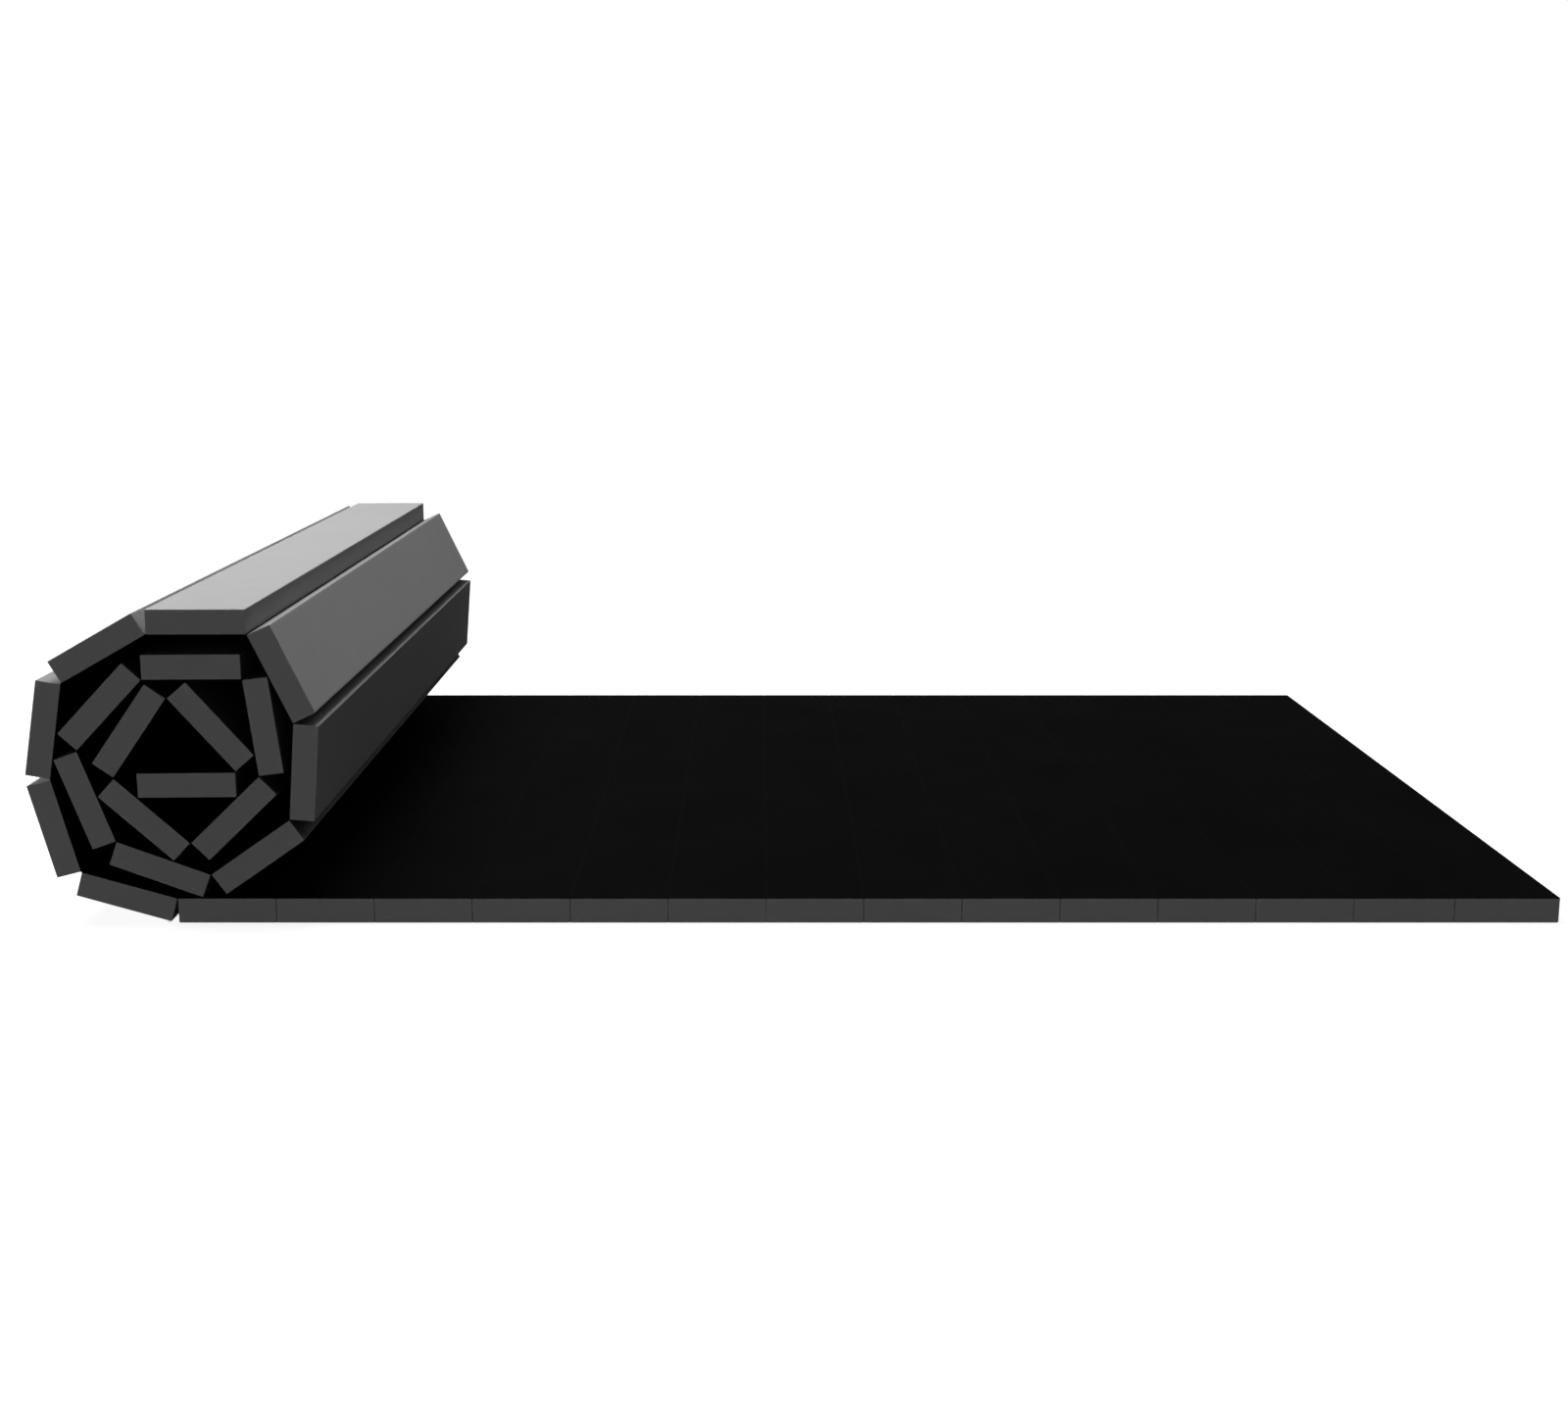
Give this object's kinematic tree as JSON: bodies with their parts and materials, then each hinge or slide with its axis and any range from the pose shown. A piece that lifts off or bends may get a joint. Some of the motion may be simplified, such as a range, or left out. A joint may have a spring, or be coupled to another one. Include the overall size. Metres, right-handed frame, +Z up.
{
  "type": "roll-out gym mat",
  "caption": "Slatted foam floor mat under one vinyl sheet, half laid flat and half rolled up; each slit is a hinge that lets the mat roll up or lie flat.",
  "frame": {"origin": "on the floor, under the middle of the part's bounding box", "axes": "+X along the mat from the roll to the free end, +Y across the mat away from the viewer, +Z up"},
  "size_m": [2.0759, 1.2192, 0.4336],
  "materials": {
    "foam": "matte closed-cell foam, knife-cut",
    "vinyl": "black satin vinyl with a fine grain"
  },
  "bodies": {
    "base": {"flat_slat_01": "foam", "flat_slat_02": "foam", "flat_slat_03": "foam", "flat_slat_04": "foam", "flat_slat_05": "foam", "flat_vinyl_base": "vinyl"},
    "flat_06": {"flat_slat_06": "foam", "flat_vinyl_06": "vinyl"},
    "flat_07": {"flat_slat_07": "foam", "flat_vinyl_07": "vinyl"},
    "flat_08": {"flat_slat_08": "foam", "flat_vinyl_08": "vinyl"},
    "flat_09": {"flat_slat_09": "foam", "flat_vinyl_09": "vinyl"},
    "flat_10": {"flat_slat_10": "foam", "flat_vinyl_10": "vinyl"},
    "flat_11": {"flat_slat_11": "foam", "flat_vinyl_11": "vinyl"},
    "flat_12": {"flat_slat_12": "foam", "flat_vinyl_12": "vinyl"},
    "flat_13": {"flat_slat_13": "foam", "flat_vinyl_13": "vinyl"},
    "flat_14": {"flat_slat_14": "foam", "flat_vinyl_14": "vinyl"},
    "roll_01": {"roll_slat_01": "foam", "roll_vinyl_01": "vinyl"},
    "roll_02": {"roll_slat_02": "foam", "roll_vinyl_02": "vinyl"},
    "roll_03": {"roll_slat_03": "foam", "roll_vinyl_03": "vinyl"},
    "roll_04": {"roll_slat_04": "foam", "roll_vinyl_04": "vinyl"},
    "roll_05": {"roll_slat_05": "foam", "roll_vinyl_05": "vinyl"},
    "roll_06": {"roll_slat_06": "foam", "roll_vinyl_06": "vinyl"},
    "roll_07": {"roll_slat_07": "foam", "roll_vinyl_07": "vinyl"},
    "roll_08": {"roll_slat_08": "foam", "roll_vinyl_08": "vinyl"},
    "roll_09": {"roll_slat_09": "foam", "roll_vinyl_09": "vinyl"},
    "roll_10": {"roll_slat_10": "foam", "roll_vinyl_10": "vinyl"},
    "roll_11": {"roll_slat_11": "foam", "roll_vinyl_11": "vinyl"},
    "roll_12": {"roll_slat_12": "foam", "roll_vinyl_12": "vinyl"},
    "roll_13": {"roll_slat_13": "foam", "roll_vinyl_13": "vinyl"},
    "roll_14": {"roll_slat_14": "foam", "roll_vinyl_14": "vinyl"},
    "roll_15": {"roll_slat_15": "foam", "roll_vinyl_15": "vinyl"},
    "roll_16": {"roll_slat_16": "foam", "roll_vinyl_16": "vinyl"},
    "roll_17": {"roll_slat_17": "foam", "roll_vinyl_17": "vinyl"},
    "roll_18": {"roll_slat_18": "foam", "roll_vinyl_18": "vinyl"}
  },
  "joints": [
    {"name": "unroll_01", "type": "hinge", "parent": "base", "child": "roll_01", "pos_m": [-0.84196, 0, 0.0349], "axis": [0, -1, 0], "range_deg": [0, 16.1]},
    {"name": "unroll_02", "type": "hinge", "parent": "roll_01", "child": "roll_02", "pos_m": [-0.97008, 0, 0.07188], "axis": [0, -1, 0], "range_deg": [0, 59.3]},
    {"name": "unroll_03", "type": "hinge", "parent": "roll_02", "child": "roll_03", "pos_m": [-1.00369, 0, 0.20092], "axis": [0, -1, 0], "range_deg": [0, 24.3]},
    {"name": "unroll_04", "type": "hinge", "parent": "roll_03", "child": "roll_04", "pos_m": [-0.98122, 0, 0.33237], "axis": [0, -1, 0], "range_deg": [0, 50.6]},
    {"name": "unroll_05", "type": "hinge", "parent": "roll_04", "child": "roll_05", "pos_m": [-0.86539, 0, 0.39844], "axis": [0, -1, 0], "range_deg": [0, 29.6]},
    {"name": "unroll_06", "type": "hinge", "parent": "roll_05", "child": "roll_06", "pos_m": [-0.73204, 0, 0.39867], "axis": [0, -1, 0], "range_deg": [0, 65]},
    {"name": "unroll_07", "type": "hinge", "parent": "roll_06", "child": "roll_07", "pos_m": [-0.67548, 0, 0.27791], "axis": [0, -1, 0], "range_deg": [0, 29.6]},
    {"name": "unroll_08", "type": "hinge", "parent": "roll_07", "child": "roll_08", "pos_m": [-0.68594, 0, 0.14497], "axis": [0, -1, 0], "range_deg": [0, 50.5]},
    {"name": "unroll_09", "type": "hinge", "parent": "roll_08", "child": "roll_09", "pos_m": [-0.79517, 0, 0.06849], "axis": [0, -1, 0], "range_deg": [0, 55.3]},
    {"name": "unroll_10", "type": "hinge", "parent": "roll_09", "child": "roll_10", "pos_m": [-0.92024, 0, 0.11475], "axis": [0, -1, 0], "range_deg": [0, 49.7]},
    {"name": "unroll_11", "type": "hinge", "parent": "roll_10", "child": "roll_11", "pos_m": [-0.96585, 0, 0.24006], "axis": [0, -1, 0], "range_deg": [0, 63.3]},
    {"name": "unroll_12", "type": "hinge", "parent": "roll_11", "child": "roll_12", "pos_m": [-0.87439, 0, 0.33711], "axis": [0, -1, 0], "range_deg": [0, 46.4]},
    {"name": "unroll_13", "type": "hinge", "parent": "roll_12", "child": "roll_13", "pos_m": [-0.74104, 0, 0.33781], "axis": [0, -1, 0], "range_deg": [0, 83.2]},
    {"name": "unroll_14", "type": "hinge", "parent": "roll_13", "child": "roll_14", "pos_m": [-0.72456, 0, 0.20548], "axis": [0, -1, 0], "range_deg": [0, 53.1]},
    {"name": "unroll_15", "type": "hinge", "parent": "roll_14", "child": "roll_15", "pos_m": [-0.82049, 0, 0.11285], "axis": [0, -1, 0], "range_deg": [0, 86.4]},
    {"name": "unroll_16", "type": "hinge", "parent": "roll_15", "child": "roll_16", "pos_m": [-0.91896, 0, 0.20276], "axis": [0, -1, 0], "range_deg": [0, 82.5]},
    {"name": "unroll_17", "type": "hinge", "parent": "roll_16", "child": "roll_17", "pos_m": [-0.84266, 0, 0.31213], "axis": [0, -1, 0], "range_deg": [0, 104.1]},
    {"name": "unroll_18", "type": "hinge", "parent": "roll_17", "child": "roll_18", "pos_m": [-0.75518, 0, 0.21149], "axis": [0, -1, 0], "range_deg": [0, 130.5]},
    {"name": "roll_up_06", "type": "hinge", "parent": "base", "child": "flat_06", "pos_m": [-0.17521, 0, 0.0349], "axis": [0, -1, 0], "range_deg": [0, 47]},
    {"name": "roll_up_07", "type": "hinge", "parent": "flat_06", "child": "flat_07", "pos_m": [-0.04186, 0, 0.0349], "axis": [0, -1, 0], "range_deg": [0, 50]},
    {"name": "roll_up_08", "type": "hinge", "parent": "flat_07", "child": "flat_08", "pos_m": [0.09149, 0, 0.0349], "axis": [0, -1, 0], "range_deg": [0, 53]},
    {"name": "roll_up_09", "type": "hinge", "parent": "flat_08", "child": "flat_09", "pos_m": [0.22484, 0, 0.0349], "axis": [0, -1, 0], "range_deg": [0, 56]},
    {"name": "roll_up_10", "type": "hinge", "parent": "flat_09", "child": "flat_10", "pos_m": [0.35819, 0, 0.0349], "axis": [0, -1, 0], "range_deg": [0, 60]},
    {"name": "roll_up_11", "type": "hinge", "parent": "flat_10", "child": "flat_11", "pos_m": [0.49154, 0, 0.0349], "axis": [0, -1, 0], "range_deg": [0, 66]},
    {"name": "roll_up_12", "type": "hinge", "parent": "flat_11", "child": "flat_12", "pos_m": [0.62489, 0, 0.0349], "axis": [0, -1, 0], "range_deg": [0, 74]},
    {"name": "roll_up_13", "type": "hinge", "parent": "flat_12", "child": "flat_13", "pos_m": [0.75824, 0, 0.0349], "axis": [0, -1, 0], "range_deg": [0, 88]},
    {"name": "roll_up_14", "type": "hinge", "parent": "flat_13", "child": "flat_14", "pos_m": [0.89534, 0, 0.0349], "axis": [0, -1, 0], "range_deg": [0, 116]}
  ],
  "couplings": [
    {"joint": "unroll_01", "follows": "unroll_02", "ratio": 0.2715},
    {"joint": "unroll_03", "follows": "unroll_02", "ratio": 0.40978},
    {"joint": "unroll_04", "follows": "unroll_02", "ratio": 0.85329},
    {"joint": "unroll_05", "follows": "unroll_02", "ratio": 0.49916},
    {"joint": "unroll_06", "follows": "unroll_02", "ratio": 1.0961},
    {"joint": "unroll_07", "follows": "unroll_02", "ratio": 0.49916},
    {"joint": "unroll_08", "follows": "unroll_02", "ratio": 0.8516},
    {"joint": "unroll_09", "follows": "unroll_02", "ratio": 0.93255},
    {"joint": "unroll_10", "follows": "unroll_02", "ratio": 0.83811},
    {"joint": "unroll_11", "follows": "unroll_02", "ratio": 1.0675},
    {"joint": "unroll_12", "follows": "unroll_02", "ratio": 0.78246},
    {"joint": "unroll_13", "follows": "unroll_02", "ratio": 1.403},
    {"joint": "unroll_14", "follows": "unroll_02", "ratio": 0.89545},
    {"joint": "unroll_15", "follows": "unroll_02", "ratio": 1.457},
    {"joint": "unroll_16", "follows": "unroll_02", "ratio": 1.3912},
    {"joint": "unroll_17", "follows": "unroll_02", "ratio": 1.7555},
    {"joint": "unroll_18", "follows": "unroll_02", "ratio": 2.2007},
    {"joint": "roll_up_07", "follows": "roll_up_06", "ratio": 1.0638},
    {"joint": "roll_up_08", "follows": "roll_up_06", "ratio": 1.1277},
    {"joint": "roll_up_09", "follows": "roll_up_06", "ratio": 1.1915},
    {"joint": "roll_up_10", "follows": "roll_up_06", "ratio": 1.2766},
    {"joint": "roll_up_11", "follows": "roll_up_06", "ratio": 1.4043},
    {"joint": "roll_up_12", "follows": "roll_up_06", "ratio": 1.5745},
    {"joint": "roll_up_13", "follows": "roll_up_06", "ratio": 1.8723},
    {"joint": "roll_up_14", "follows": "roll_up_06", "ratio": 2.4681}
  ]
}
